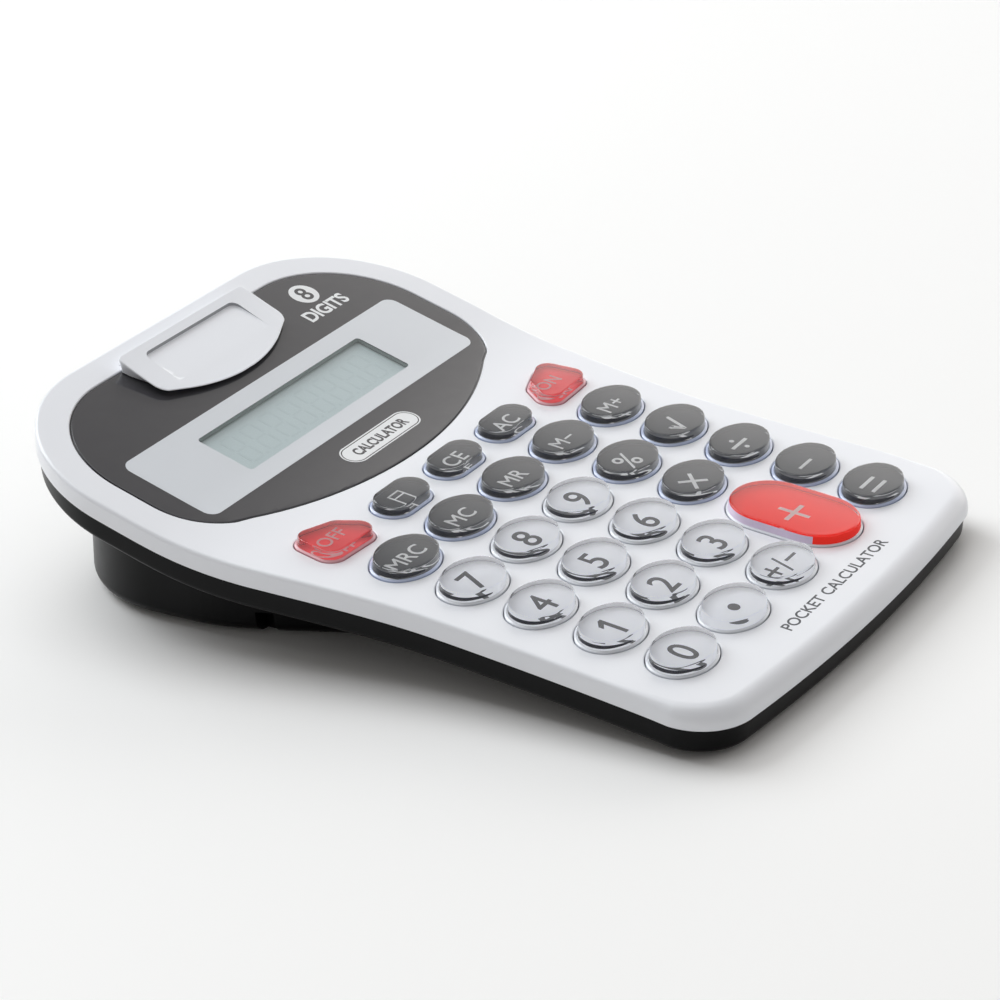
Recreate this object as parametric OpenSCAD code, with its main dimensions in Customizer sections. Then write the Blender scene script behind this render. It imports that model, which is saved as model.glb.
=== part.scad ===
// Small desk or pocket calculator: a pearl white upper case with a round head and a sloping display,
// a black lower case whose rear foot holds the battery, 29 clear sprung keys, and a sprung paper
// clip over the display.
// The case frame has z = 0 on the keyboard face, y = 0 on the key row 7 8 9, and +Y to the display.
// The case stands on its rubber feet with the keyboard leaning down to the front.

/* [Case] */
// Greatest width, across the head
head_w = 94; // [92:1:97]
// Width at the waist, beside the keys
waist_w = 83.6; // [83:0.2:88]
// How much each side flares again towards the front corners
flare = 1.2; // [0:0.1:2]
// Distance from the key row 7 8 9 to the front edge
front_len = 51.9; // [51.5:0.1:54]
// Distance from the key row 7 8 9 to the rear edge
rear_len = 82.5; // [82:0.1:84]
// Height of the white side above the seam
upper_h = 3.3; // [3.2:0.1:3.6]
// Depth of the case below the keyboard face
case_h = 7.5; // [7.4:0.1:8]
// Wall thickness of both shells
wall = 1.6; // [1.4:0.1:1.8]
// Slope of the display against the keyboard, in degrees
slope = 11.3; // [9:0.1:12]
// Lean of the keyboard against the desk, in degrees
lean = 6.5; // [6:0.1:7]

/* [Keys] */
// Distance between key columns
col_pitch = 15; // [15:0.1:15.4]
// Distance between key rows
row_pitch = 12; // [12:0.1:12.2]
// Width of an oval key
key_w = 12.4; // [11.8:0.1:12.6]
// Length of an oval key, from front to rear
key_l = 9.3; // [8.8:0.1:9.4]
// Height of the keys above the keyboard face
key_rise = 1.8; // [1.2:0.1:2.2]
// Gap around a key
key_gap = 0.25; // [0.2:0.05:0.3]
// Travel of a key
key_travel = 0.8; // [0.5:0.1:0.9]

/* [Display] */
// Thickness of the display lens
lens_t = 0.8; // [0.6:0.1:1]
// Width of the window in front of the liquid crystal
window_w = 44.4; // [40:0.1:46]
// Length of that window, up the slope
window_l = 10.7; // [9:0.1:12]
// Place of the window's middle
window_y = 51.9; // [51:0.1:53]

/* [Clip] */
// Width of the clip plate
clip_w = 33.6; // [30:0.1:34]
// Place of the plate's front edge
clip_front = 63.3; // [63:0.1:65]
// Place of the clip's pin
pin_y = 76.8; // [76.6:0.1:77]
// Radius of the clip's pin
pin_r = 0.8; // [0.7:0.05:0.9]

/* [Foot] */
// Greatest width of the rear foot
foot_w = 78.8; // [78:0.1:79.6]
// Place of the rear foot's front wall
foot_front = 14; // [13:1:15]
// Place of the rear foot's rear wall
foot_rear = 78; // [77.5:0.1:78.4]
// Gap that the rubber feet keep under the rear foot
foot_gap = 0.8; // [0.6:0.1:1]
// Radius of the battery
battery_r = 7.25; // [7.1:0.05:7.25]

/* [Hidden] */
$fn = 64;
mid_y = 14.92;
desk_drop = 13.7;
span = 220;

// Places along the sides of the plan
waist_y = -2;
head_y = 52;
front_corner_r = 9.5;
rear_corner_r = 24.5;
front_bow_r = 321;

// The concave bend between keyboard and display
bend_y = 38.9;
bend_half = 9;

// Levels under the keyboard face
backing_z = -2.6;
flange_top = -1.7;
flange_bottom = -2.2;
mat_top = -4.0;
board_top = -4.5;
board_bottom = -5.3;
floor_top = -6.0;

// The clip's barrel and the trough it turns in
barrel_r = 1.9;
trough_r = 2.15;
barrel_w = clip_w - 4.2;
trough_w = clip_w - 3.6;
clip_rear = 77.4;
pin_z = top_z(pin_y) - 1.2;

// The battery compartment
battery_y = 63;
battery_z = -desk_drop - battery_y * tan(lean) + foot_gap + wall + battery_r + 1.2;
door_front = 53.5;
door_half_w = 27;
door_h = 9;

case_screws_at = [for (s = [-1, 1]) each [[14 * s, -46.3], [41.2 * s, 34], [41.2 * s, 62]]];
board_screws_at = [for (x = [-22.5, 22.5]) for (y = [6, -18, -42]) [x, y]];
front_feet_at = [for (s = [-1, 1]) [32 * s, -41.5]];
rear_feet_at = [for (s = [-1, 1]) [26.5 * s, 44]];

// Every key: its node name, its shape, its column, its row and its colour
CLEAR = "gainsboro";
DARK = "dimgray";
KEYS = [
    ["key_recall_clear", "oval", 0, 0, DARK],
    ["key_memory_clear", "oval", 1, 0, DARK],
    ["key_memory_recall", "oval", 2, 0, DARK],
    ["key_memory_minus", "oval", 3, 0, DARK],
    ["key_memory_plus", "oval", 4, 0, DARK],
    ["key_7", "oval", 0, 1, CLEAR],
    ["key_8", "oval", 1, 1, CLEAR],
    ["key_9", "oval", 2, 1, CLEAR],
    ["key_percent", "oval", 3, 1, DARK],
    ["key_root", "oval", 4, 1, DARK],
    ["key_4", "oval", 0, 2, CLEAR],
    ["key_5", "oval", 1, 2, CLEAR],
    ["key_6", "oval", 2, 2, CLEAR],
    ["key_times", "oval", 3, 2, DARK],
    ["key_divide", "oval", 4, 2, DARK],
    ["key_1", "oval", 0, 3, CLEAR],
    ["key_2", "oval", 1, 3, CLEAR],
    ["key_3", "oval", 2, 3, CLEAR],
    ["key_minus", "oval", 4, 3, DARK],
    ["key_0", "oval", 0, 4, CLEAR],
    ["key_point", "oval", 1, 4, CLEAR],
    ["key_sign", "oval", 2, 4, CLEAR],
    ["key_equals", "oval", 4, 4, DARK],
    ["key_plus", "tall", 3, 3.5, "red"],
    ["key_total", "bar", 1, -0.92, DARK],
    ["key_clear", "bar", 2, -0.92, DARK],
    ["key_all_clear", "bar", 3, -0.92, DARK],
    ["key_off", "corner", -1, 0, "red"],
    ["key_on", "corner", 1, 0, "red"],
];

// ---------------------------------------------------------------- shapes and levels

function unit(t) = min(1, max(0, t));
function ease(t) = unit(t) * unit(t) * (3 - 2 * unit(t));
function arc(x, y, r, from, to, steps) =
    [for (i = [0:steps]) let (a = from + (to - from) * i / steps) [x + r * cos(a), y + r * sin(a)]];
function both_sides(half) =
    concat(half, [for (i = [len(half) - 1:-1:0]) [-half[i][0], half[i][1]]]);

// Height of the keyboard and display face at y
function top_z(y) =
    y < bend_y - bend_half ? 0
    : y > bend_y + bend_half ? (y - bend_y) * tan(slope)
    : tan(slope) * pow(y - bend_y + bend_half, 2) / (4 * bend_half);

// Half the case's width at y
function side_x(y) =
    waist_w / 2
    + (head_w - waist_w) / 2 * ease((y - waist_y) / (head_y - waist_y))
    + flare * pow(max(0, (waist_y - y) / (waist_y + 42)), 2);

// Right half of the case's plan, pulled in by d
function case_half(d) =
    let (front_x = side_x(-41) - front_corner_r + 0.1, rear_x = head_w / 2 - rear_corner_r)
    concat(
        [for (x = [6:7:27]) [x, -front_len + d + x * x / (2 * front_bow_r)]],
        arc(front_x, -front_len + 11.3, front_corner_r - d, -84, -3, 8),
        [for (y = [-36:6:54]) [side_x(y) - d, y]],
        arc(rear_x, rear_len - rear_corner_r, rear_corner_r - d, 0, 90, 14)
    );

// Right half of the lens's plan, pulled in by d
function lens_half(d) =
    concat(
        arc(0, 97.4, 67 - d, -86, -60, 6),
        arc(27.2, 51.3, 13.9 - d, -54, 0, 6),
        arc(22.4, 58.2, 18.7 - d, 0, 90, 10)
    );

// Half the rear foot's width at y, and the right half of its plan
function foot_x(y) = foot_w / 2 - 9 * ease((46 - y) / 36);
function foot_half(d) =
    concat(
        arc(foot_x(foot_front) - 6, foot_front + 6, 6 - d, -90, -20, 5),
        [for (y = [22:5:52]) [foot_x(y) - d, y]],
        arc(foot_w / 2 - 24, foot_rear - 24, 24 - d, 0, 90, 10)
    );

// Right half of the clip plate's plan
function clip_half() =
    concat(
        arc(0, clip_front + 29.5, 29.5, -86, -64, 5),
        arc(clip_w / 2 - 3, clip_front + 6.6, 3, -50, 0, 4),
        arc(clip_w / 2 - 1, clip_rear - 1, 1, 0, 90, 4)
    );

// A convex outline with round corners, from the corners' centres
function rounded(centres, r) =
    let (n = len(centres))
    [for (i = [0:n - 1])
        let (a = centres[(i + n - 1) % n], b = centres[i], c = centres[(i + 1) % n],
             from = atan2(b[1] - a[1], b[0] - a[0]) - 90,
             raw = atan2(c[1] - b[1], c[0] - b[0]) - 90,
             to = raw < from ? raw + 360 : raw)
        each arc(b[0], b[1], r, from, to, 5)];

// Everything between two levels that follow the face, inside a plan
module band(high, low) {
    steps = concat([-80], [for (i = [0:8]) bend_y - bend_half + i * bend_half / 4], [120]);
    upper = [for (y = steps) [y, top_z(y) + high]];
    lower = [for (i = [len(steps) - 1:-1:0]) [steps[i], top_z(steps[i]) + low]];
    rotate([90, 0, 90]) linear_extrude(span, center = true) polygon(concat(upper, lower));
}

module slab(half, high, low) {
    intersection() {
        translate([0, 0, -50]) linear_extrude(100) polygon(both_sides(half));
        band(high, low);
    }
}

// Stands the case frame on the desk
module placed() {
    translate([0, -mid_y, desk_drop * cos(lean)]) rotate([lean, 0, 0]) children();
}

// A frame in the case whose z = 0 is the desk and whose axes are the desk's
module on_desk() {
    translate([0, 0, -desk_drop]) rotate([-lean, 0, 0]) children();
}

// A frame on the display face at y, tilted with it
module on_slope(y) {
    translate([0, y, top_z(y)]) rotate([slope, 0, 0]) children();
}

module on_face(at) {
    translate([at[0], at[1], top_z(at[1])]) children();
}

module block(low, high) {
    translate(low) cube(high - low);
}

module pipe(r, low, high) {
    translate([0, 0, low]) cylinder(r = r, h = high - low);
}

module along_x(r, from, to) {
    translate([from, 0, 0]) rotate([0, 90, 0]) cylinder(r = r, h = to - from);
}

// A tube swept along points, for wire whose run is never parallel to X
module sweep(points, r) {
    sides = 8;
    n = len(points);
    ring = [for (i = [0:n - 1])
        let (t = points[min(n - 1, i + 1)] - points[max(0, i - 1)],
             u = cross(t, [1, 0, 0]) / norm(cross(t, [1, 0, 0])),
             v = cross(t / norm(t), u))
        [for (k = [0:sides - 1]) points[i] + r * (cos(k * 45) * u + sin(k * 45) * v)]];
    walls = [for (i = [0:n - 2]) for (k = [0:sides - 1])
        let (m = (k + 1) % sides)
        each [[i * sides + k, (i + 1) * sides + m, i * sides + m],
              [i * sides + k, (i + 1) * sides + k, (i + 1) * sides + m]]];
    caps = [[for (k = [0:sides - 1]) k], [for (k = [sides - 1:-1:0]) (n - 1) * sides + k]];
    polyhedron([for (c = ring) each c], concat(walls, caps));
}

// Points of a helix round an axis along X
function helix(r, length, turns, steps) =
    [for (i = [0:steps]) let (a = 360 * turns * i / steps)
        [length * i / steps, r * cos(a), r * sin(a)]];

// ---------------------------------------------------------------- keys

// An oval of four arcs: tight ones at its ends, flat ones along its sides
function oval(w, l) =
    let (
        r = 0.4 * l,
        x = w / 2 - r,
        side_r = (x * x + l * l / 4 - r * r) / (l - 2 * r),
        y = side_r - l / 2,
        turn = atan2(y, x),
        step = (90 - turn) / 4
    )
    concat(
        arc(x, 0, r, -turn, turn, 8),
        arc(0, -y, side_r, turn + step, 180 - turn - step, 6),
        arc(-x, 0, r, 180 - turn, 180 + turn, 8),
        arc(0, y, side_r, 180 + turn + step, 360 - turn - step, 6)
    );

// A bar with round ends, longer along X or along Y
module bar(w, l) {
    r = min(w, l) / 2;
    square([w > l ? w - l : w, w > l ? l : l - w], center = true);
    for (s = [-1, 1]) translate([s * (w / 2 - r), s * (l / 2 - r)]) circle(r);
}

// The plan of a key's cap, grown by g
module key_plan(k, g) {
    if (k[1] == "oval") polygon(oval(key_w + 2 * g, key_l + 2 * g));
    if (k[1] == "bar") bar(11.1 + 2 * g, 6.5 + 2 * g);
    if (k[1] == "tall") bar(13.6 + 2 * g, 21.4 + 2 * g);
    if (k[1] == "corner") {
        half = [[34.5, 22.7], [33.9, 26.6], [29.6, 24.9], [27.8, 22.3]];
        side = k[2] > 0 ? half : [for (i = [3:-1:0]) [-half[i][0], half[i][1]]];
        polygon(rounded(side, 2.3 + g));
    }
}

function key_x(k) = k[1] == "corner" ? 0 : (k[2] - 2) * col_pitch;
function key_y(k) = k[1] == "corner" ? 0 : (1 - k[3]) * row_pitch;

// Where the rubber domes push: two under the tall key, one under any other
function domes_under(k) =
    k[1] == "corner" ? [[31.5 * k[2], 23.2]]
    : k[1] == "tall" ? [for (s = [-1, 1]) [key_x(k), key_y(k) + 6 * s]]
    : [[key_x(k), key_y(k)]];

module at_key(k) {
    translate([key_x(k), key_y(k), 0]) children();
}

module key(k) {
    color(k[4]) placed() {
        at_key(k) {
            translate([0, 0, flange_top]) linear_extrude(key_rise - flange_top) key_plan(k, 0);
            translate([0, 0, flange_bottom])
                linear_extrude(flange_top - flange_bottom) key_plan(k, 0.7);
        }
    }
}

module key_holes() {
    for (k = KEYS) at_key(k) translate([0, 0, -5]) linear_extrude(10) key_plan(k, key_gap);
}

// ---------------------------------------------------------------- case

module upper_case() {
    color("whitesmoke") placed() difference() {
        union() {
            difference() {
                slab(case_half(0), 0, -upper_h);
                slab(case_half(wall), -wall, -upper_h - 1);
            }
            slab(lens_half(-2.5), -wall + 0.1, backing_z);
            intersection() {
                slab(case_half(2.7), -wall + 0.1, -5.8);
                block([-20, 71.8, -20], [20, 100, 20]);
            }
            for (p = case_screws_at) on_face(p) pipe(2.3, -4.2, -wall + 0.1);
            for (p = board_screws_at) on_face(p) pipe(1.8, board_top, -wall + 0.1);
        }
        slab(lens_half(-0.15), 5, -lens_t);
        on_slope(window_y) block([-window_w / 2 - 0.6, -window_l / 2 - 0.6, -6],
                                 [window_w / 2 + 0.6, window_l / 2 + 0.6, 2]);
        key_holes();
        translate([0, pin_y, pin_z]) {
            along_x(trough_r, -trough_w / 2, trough_w / 2);
            along_x(pin_r + 0.02, -19.6, 19.6);
        }
        for (p = case_screws_at) on_face(p) pipe(1.05, -5, backing_z - 0.1);
        for (p = board_screws_at) on_face(p) pipe(0.8, -5, -2.3);
    }
}

module foot_block(d, lift) {
    intersection() {
        slab(foot_half(d), -6.5 - 1.2 * d, -60);
        on_desk() block([-span / 2, -50, foot_gap + lift], [span / 2, 120, 60]);
    }
}

// The part of the foot that comes away as the battery cover, grown by g
module door_space(g) {
    on_desk() block([-door_half_w - g, door_front - g, -5], [door_half_w + g, 120, door_h + g]);
}

module battery_walls() {
    intersection() {
        foot_block(wall - 0.1, 0);
        on_desk() union() {
            for (x = [-30, 27.1]) block([x, 52.3, 0], [x + 1.2, 72, 15]);
            block([-30, 52.3, 0], [28.3, 53.4, 15]);
            block([-30, 70.9, wall + 2.2], [28.3, 72, 15]);
            for (s = [-1, 1]) block([s * 33 - 4, 29, 0], [s * 33 + 4, 37.5, 5.6]);
        }
    }
}

module case_shell() {
    slab(case_half(0.5), -upper_h, -case_h);
    difference() {
        slab(case_half(wall + 0.15), -upper_h + 0.9, -upper_h - 1);
        slab(case_half(wall + 0.95), -upper_h + 2, -upper_h - 2);
        block([-20.3, 70, -20], [20.3, 100, 20]);
    }
    foot_block(0, 0);
}

module lower_case() {
    color([0.13, 0.13, 0.13]) placed() difference() {
        union() {
            difference() {
                case_shell();
                slab(case_half(wall + 0.5), 5, floor_top);
                difference() {
                    slab(foot_half(wall), 5, -60);
                    on_desk() block([-span / 2, -50, -20], [span / 2, 120, foot_gap + wall]);
                }
            }
            battery_walls();
            for (p = case_screws_at) on_face(p) pipe(2.6, floor_top - 0.5, -4.3);
        }
        door_space(0.15);
        for (s = [-1, 1]) {
            on_desk() block([s * 13 - 3.6, 50, foot_gap + wall], [s * 13 + 3.6, 56, 4.2]);
            on_desk() block([s * 38 - 3.4, 32, -2], [s * 38 + 3.4, 34.8, 4.6]);
        }
        for (p = case_screws_at) on_face(p) {
            pipe(1.1, -9, -4);
            pipe(2.15, -9, -5.8);
        }
        for (p = front_feet_at) on_desk() translate([p[0], p[1], 0]) pipe(4.05, -1, 2.05);
        for (p = rear_feet_at) on_desk() translate([p[0], p[1], 0]) pipe(4.05, -1, 1.65);
    }
}

module battery_cover() {
    color([0.16, 0.16, 0.16]) placed() {
        difference() {
            intersection() {
                foot_block(0, 0);
                door_space(0);
            }
            difference() {
                slab(foot_half(wall), 5, -60);
                on_desk() block([-span / 2, -50, -20], [span / 2, 120, foot_gap + wall]);
            }
            for (i = [0:4]) on_desk() translate([0, 66 + 1.6 * i, foot_gap]) along_x(0.4, -9, 9);
        }
        for (s = [-1, 1]) {
            on_desk() block([s * 13 - 3.2, 50.2, foot_gap + wall + 0.1],
                            [s * 13 + 3.2, 57, foot_gap + wall + 0.9]);
            on_desk() block([s * 13 - 3.2, 54.5, foot_gap + wall - 0.2],
                            [s * 13 + 3.2, 57, foot_gap + wall + 0.9]);
        }
    }
}

module rubber_feet() {
    color([0.1, 0.1, 0.1]) placed() {
        for (p = front_feet_at) on_desk() translate([p[0], p[1], 0]) pipe(4, 0, 2);
        for (p = rear_feet_at) on_desk() translate([p[0], p[1], 0]) pipe(4, 0, 1.6);
    }
}

module case_screws() {
    color("silver") placed() for (p = case_screws_at) on_face(p) difference() {
        union() {
            pipe(1, -5.9, -2.8);
            pipe(2, -7.1, -5.85);
        }
        for (a = [0, 90]) rotate([0, 0, a]) block([-1.3, -0.25, -8], [1.3, 0.25, -6.5]);
    }
}

// ---------------------------------------------------------------- display

module display_lens() {
    color([0.35, 0.34, 0.34]) placed() difference() {
        slab(lens_half(0), 0, -lens_t + 0.02);
        block([-trough_w / 2 - 0.2, pin_y - trough_r - 0.2, -20], [trough_w / 2 + 0.2, 100, 20]);
        translate([0, pin_y, pin_z]) along_x(pin_r + 0.1, -19.8, 19.8);
    }
}

module lcd_glass() {
    color([0.7, 0.76, 0.74]) placed() on_slope(window_y) {
        block([-26, -9, -4.6], [26, 9, -3.75]);
        block([-26, -8, -3.75], [26, 9, -2.9]);
    }
}

module lcd_frame() {
    color("dimgray") placed() on_slope(window_y) difference() {
        block([-28.5, -11, -5.6], [28.5, 11, -2.85]);
        block([-26.2, -9.2, -4.65], [26.2, 9.2, -2]);
        block([-22, -7, -7], [22, 7.5, -2]);
        block([-15, -12, -4.2], [15, -9, -2]);
    }
}

module display_ribbon() {
    t = 0.15;
    under = [[44.7, -2.66], [43.7, -2.86], [41.6, -3.3], [40, board_top], [36.4, board_top]];
    over = [for (i = [len(under) - 1:-1:0]) under[i] + [0, t]];
    color("goldenrod") placed() rotate([90, 0, 90]) linear_extrude(28, center = true)
        polygon(concat(under, over));
}

// ---------------------------------------------------------------- electronics and keypad

module circuit_board() {
    edge = [[33, 40.2], [33, 33], [37, 30], [37, -43]];
    color("seagreen") placed() difference() {
        translate([0, 0, board_bottom])
            linear_extrude(board_top - board_bottom) polygon(both_sides(edge));
        for (p = board_screws_at) translate(p) pipe(0.9, -9, 0);
    }
}

module chip() {
    r = 3.6;
    cap = 1.1;
    ball = (r * r + cap * cap) / (2 * cap);
    color([0.08, 0.08, 0.08]) placed() translate([-24, 35, board_top]) intersection() {
        translate([0, 0, cap - ball]) sphere(ball);
        pipe(r + 1, 0, 5);
    }
}

module capacitor() {
    color("midnightblue") placed() translate([18, 33, 0]) {
        pipe(2.5, -12.5, board_bottom - 0.4);
        for (s = [-1, 1]) translate([s, 0, 0]) pipe(0.25, board_bottom - 0.5, board_bottom);
    }
}

module keypad_mat() {
    edge = [[36.5, 29.2], [36.5, -42.8]];
    color("lightgray") placed() difference() {
        translate([0, 0, board_top]) linear_extrude(mat_top - board_top) polygon(both_sides(edge));
        for (p = board_screws_at) translate(p) pipe(2.1, -9, 0);
    }
}

module keypad_domes() {
    color("gray") placed() for (k = KEYS) for (p = domes_under(k))
        translate([p[0], p[1], mat_top]) difference() {
            cylinder(r1 = 3.1, r2 = 2.2, h = flange_bottom - mat_top - 0.05);
            translate([0, 0, -0.01]) cylinder(r1 = 2.5, r2 = 1.7, h = 1.1);
        }
}

module board_screws() {
    color("silver") placed() for (p = board_screws_at) translate(p) difference() {
        union() {
            pipe(0.75, board_bottom - 0.05, -2.4);
            pipe(1.5, board_bottom - 0.5, board_bottom);
        }
        for (a = [0, 90]) rotate([0, 0, a]) block([-1, -0.2, -8], [1, 0.2, board_bottom - 0.25]);
    }
}

// ---------------------------------------------------------------- battery

module at_battery() {
    translate([0, battery_y, battery_z]) children();
}

module battery() {
    color("darkorange") placed() at_battery() {
        along_x(battery_r, -24.2, 25);
        along_x(2.75, 24.9, 26.3);
    }
}

module battery_spring() {
    color("silver") placed() at_battery() {
        translate([-28.3, 0, 0]) sweep(helix(3, 3.6, 3, 48), 0.3);
        block([-28.7, -4, -5], [-28.4, 4, 7]);
    }
}

module battery_contact() {
    color("silver") placed() at_battery() block([26.5, -4, -5], [26.9, 4, 7]);
}

// The red and the black lead, from the contacts to the board's underside
module battery_leads() {
    color("firebrick") placed() for (s = [-1, 1]) {
        x = s > 0 ? 26.7 : -28.5;
        sweep([[x, battery_y, battery_z + 7.03], [x, battery_y, battery_z + 7.6],
               [x, battery_y - 0.8, battery_z + 8], [x, 57, -2.75], [x, 52.6, -4.1],
               [s * 26, 45, -6.1], [s * 23, 39.6, -6.6], [s * 22.6, 38.8, -6.1],
               [s * 22.6, 38.8, board_bottom - 0.02]], 0.4);
    }
}

// ---------------------------------------------------------------- clip

// Height of the clip's deck over the display face, a wedge that steepens to the rear
function deck_rise(y) = let (run = y - clip_front) 0.7 + 0.065 * run + 0.0048 * run * run;

// The clip's side view, between the lens and the thumb deck, with its rear this far off the face
module clip_profile(rear_gap) {
    front_y = clip_front - 1;
    polygon(concat(
        [for (p = [[front_y, 0.15], [75.9, 0.15], [clip_rear + 1, rear_gap]]) [p[0], top_z(p[0]) + p[1]]],
        [for (i = [0:6]) let (y = clip_rear + 1 - (clip_rear + 1 - front_y) * i / 6)
            [y, top_z(y) + deck_rise(y)]]
    ));
}

module clip_plate() {
    color("white") placed() difference() {
        union() {
            intersection() {
                translate([0, 0, -20]) linear_extrude(60) polygon(both_sides(clip_half()));
                rotate([90, 0, 90]) {
                    linear_extrude(span, center = true) clip_profile(1.35);
                    linear_extrude(barrel_w, center = true) clip_profile(0.15);
                }
            }
            translate([0, pin_y, pin_z]) along_x(barrel_r, -barrel_w / 2, barrel_w / 2);
        }
        translate([0, pin_y, pin_z]) {
            along_x(pin_r + 0.06, -20, 20);
            along_x(2.1, -4, 4);
            block([-4, -2.1, -5], [4, 2.1, 0]);
        }
        // Thumb scoop, deepest at its rear wall
        on_slope(67) rotate([90, 0, 90]) linear_extrude(25, center = true)
            polygon([[0.6, 1.1], [8.7, 1.74], [8.8, 4], [0.6, 4]]);
    }
}

module clip_pin() {
    color("silver") placed() translate([0, pin_y, pin_z]) along_x(pin_r, -19.5, 19.5);
}

module clip_spring() {
    color("silver") placed() translate([-3.2, pin_y, pin_z]) {
        sweep(concat([[0, 1.45, -1]], helix(1.45, 6.4, 5.5, 66), [[6.4, -1.45, -1]]), 0.25);
    }
}

// ---------------------------------------------------------------- assembly

upper_case();
lower_case();
battery_cover();
display_lens();
lcd_glass();
lcd_frame();
display_ribbon();
circuit_board();
chip();
capacitor();
keypad_mat();
keypad_domes();
battery();
battery_spring();
battery_contact();
battery_leads();
clip_plate();
clip_pin();
clip_spring();
case_screws();
board_screws();
rubber_feet();
for (k = KEYS) key(k);
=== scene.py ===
"""Looks of the pocket calculator: shells, lens, keys, clip and battery door, on a pale desk.

Shapes are built in millimetres in the case frame, where z = 0 is the keyboard face and y = 0 is the
key row 7 8 9. The case stands on its feet with the keyboard leaning down to the front.
"""
import math

import bmesh
import bpy
from mathutils import Matrix, Vector


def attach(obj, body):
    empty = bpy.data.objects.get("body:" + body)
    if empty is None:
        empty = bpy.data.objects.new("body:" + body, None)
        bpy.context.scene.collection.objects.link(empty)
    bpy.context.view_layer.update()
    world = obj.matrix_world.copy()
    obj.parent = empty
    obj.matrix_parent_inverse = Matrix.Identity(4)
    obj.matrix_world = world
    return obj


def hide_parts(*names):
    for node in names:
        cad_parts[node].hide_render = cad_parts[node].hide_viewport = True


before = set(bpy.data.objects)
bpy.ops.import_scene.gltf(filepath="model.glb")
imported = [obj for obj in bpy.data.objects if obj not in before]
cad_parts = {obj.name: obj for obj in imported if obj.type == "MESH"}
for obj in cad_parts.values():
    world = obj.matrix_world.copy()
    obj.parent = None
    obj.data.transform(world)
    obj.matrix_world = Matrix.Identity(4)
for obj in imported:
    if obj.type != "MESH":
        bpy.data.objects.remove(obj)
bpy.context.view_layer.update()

# ---------------------------------------------------------------- sizes, in millimetres and degrees

HEAD_W, WAIST_W, FLARE = 94.0, 83.6, 1.2
FRONT_LEN, REAR_LEN = 51.9, 82.5
UPPER_H, CASE_H, WALL = 3.3, 7.5, 1.6
WAIST_Y, HEAD_Y = -2.0, 52.0
FRONT_CORNER_R, REAR_CORNER_R, FRONT_BOW_R = 9.5, 24.5, 321.0
SLOPE, LEAN = math.radians(11.3), math.radians(6.5)
BEND_Y, BEND_HALF = 38.9, 9.0
MID_Y, DESK_DROP = 14.92, 13.7

COL_PITCH, ROW_PITCH = 15.0, 12.0
KEY_W, KEY_L, KEY_RISE, SKIRT, KEY_GAP = 12.4, 9.3, 1.8, 0.38, 0.14
FILM_Z, CAP_BOTTOM, KEY_BOTTOM = -0.78, -0.85, -2.2
BAR_KEY, TALL_KEY = (11.1, 6.5), (13.6, 21.4)
CORNER_KEY, CORNER_KEY_R = [(34.5, 22.7), (33.9, 26.6), (29.6, 24.9), (27.8, 22.3)], 2.3

LENS_T = 0.8
WINDOW_W, WINDOW_L, WINDOW_Y = 44.4, 10.7, 51.9
PANEL_W, PANEL_FRONT, PANEL_REAR = 73.6, 43.05, 61.0

CLIP_W, CLIP_FRONT, CLIP_REAR = 33.6, 63.3, 77.4
CLIP_GAP, CLIP_THICK = 0.17, 2.0
SCOOP_HALF_W, SCOOP_FRONT, SCOOP_REAR, SCOOP_R, SCOOP_DROP = 12.2, 68.0, 75.6, 1.5, 0.6
PIN_Y, PIN_DROP, PIN_HOLE_R, BARREL_R, BARREL_W = 76.8, 1.2, 0.86, 1.9, 29.4
TROUGH_R, TROUGH_W = 2.15, 30.0

FOOT_W, FOOT_FRONT, FOOT_REAR, FOOT_GAP = 78.8, 14.0, 78.0, 0.8
DOOR_FRONT, DOOR_HALF_W, DOOR_H = 53.5, 27.0, 9.0
FEET = [(s * x, y, h) for x, y, h in ((32, -41.5, 2.0), (26.5, 44, 1.6)) for s in (-1, 1)]
COUNTERBORE_R, FOOT_RECESS_R = 2.15, 4.05
SCREWS = [(s * x, y) for x, y in ((14, -46.3), (41.2, 34), (41.2, 62)) for s in (-1, 1)]

MM = Matrix.Scale(0.001, 4)
CASE = MM @ Matrix.Translation((0, -MID_Y, DESK_DROP * math.cos(LEAN))) @ Matrix.Rotation(LEAN, 4, "X")
DESK_IN_CASE = Matrix.Translation((0, 0, -DESK_DROP)) @ Matrix.Rotation(-LEAN, 4, "X")


# ---------------------------------------------------------------- outlines

def steps(first, last, step):
    count = round((last - first) / step)
    return [first + (last - first) * i / count for i in range(count + 1)]


def arc(x, y, r, first, last, count):
    """Points on an arc round (x, y), from one angle in degrees to another."""
    angles = [math.radians(first + (last - first) * i / count) for i in range(count + 1)]
    return [(x + r * math.cos(a), y + r * math.sin(a)) for a in angles]


def both_sides(half):
    """A closed outline from its right half, which runs from the front to the rear."""
    return half + [(-x, y) for x, y in reversed(half)]


def ease(t):
    t = min(1.0, max(0.0, t))
    return t * t * (3 - 2 * t)


def side_x(y):
    """Half the case's width at y."""
    widening = (HEAD_W - WAIST_W) / 2 * ease((y - WAIST_Y) / (HEAD_Y - WAIST_Y))
    return WAIST_W / 2 + widening + FLARE * max(0.0, (WAIST_Y - y) / (WAIST_Y + 42)) ** 2


def case_outline():
    corner_x = side_x(-41) - FRONT_CORNER_R + 0.1
    half = [(x, -FRONT_LEN + x * x / (2 * FRONT_BOW_R)) for x in steps(1.5, 31.5, 3)]
    half += arc(corner_x, -FRONT_LEN + 11.3, FRONT_CORNER_R, -84, -3, 18)
    half += [(side_x(y), y) for y in steps(-38, 56, 2)]
    half += arc(HEAD_W / 2 - REAR_CORNER_R, REAR_LEN - REAR_CORNER_R, REAR_CORNER_R, 0, 90, 28)
    half += [(x, REAR_LEN) for x in (17, 11, 4)]
    return both_sides(half)


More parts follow.
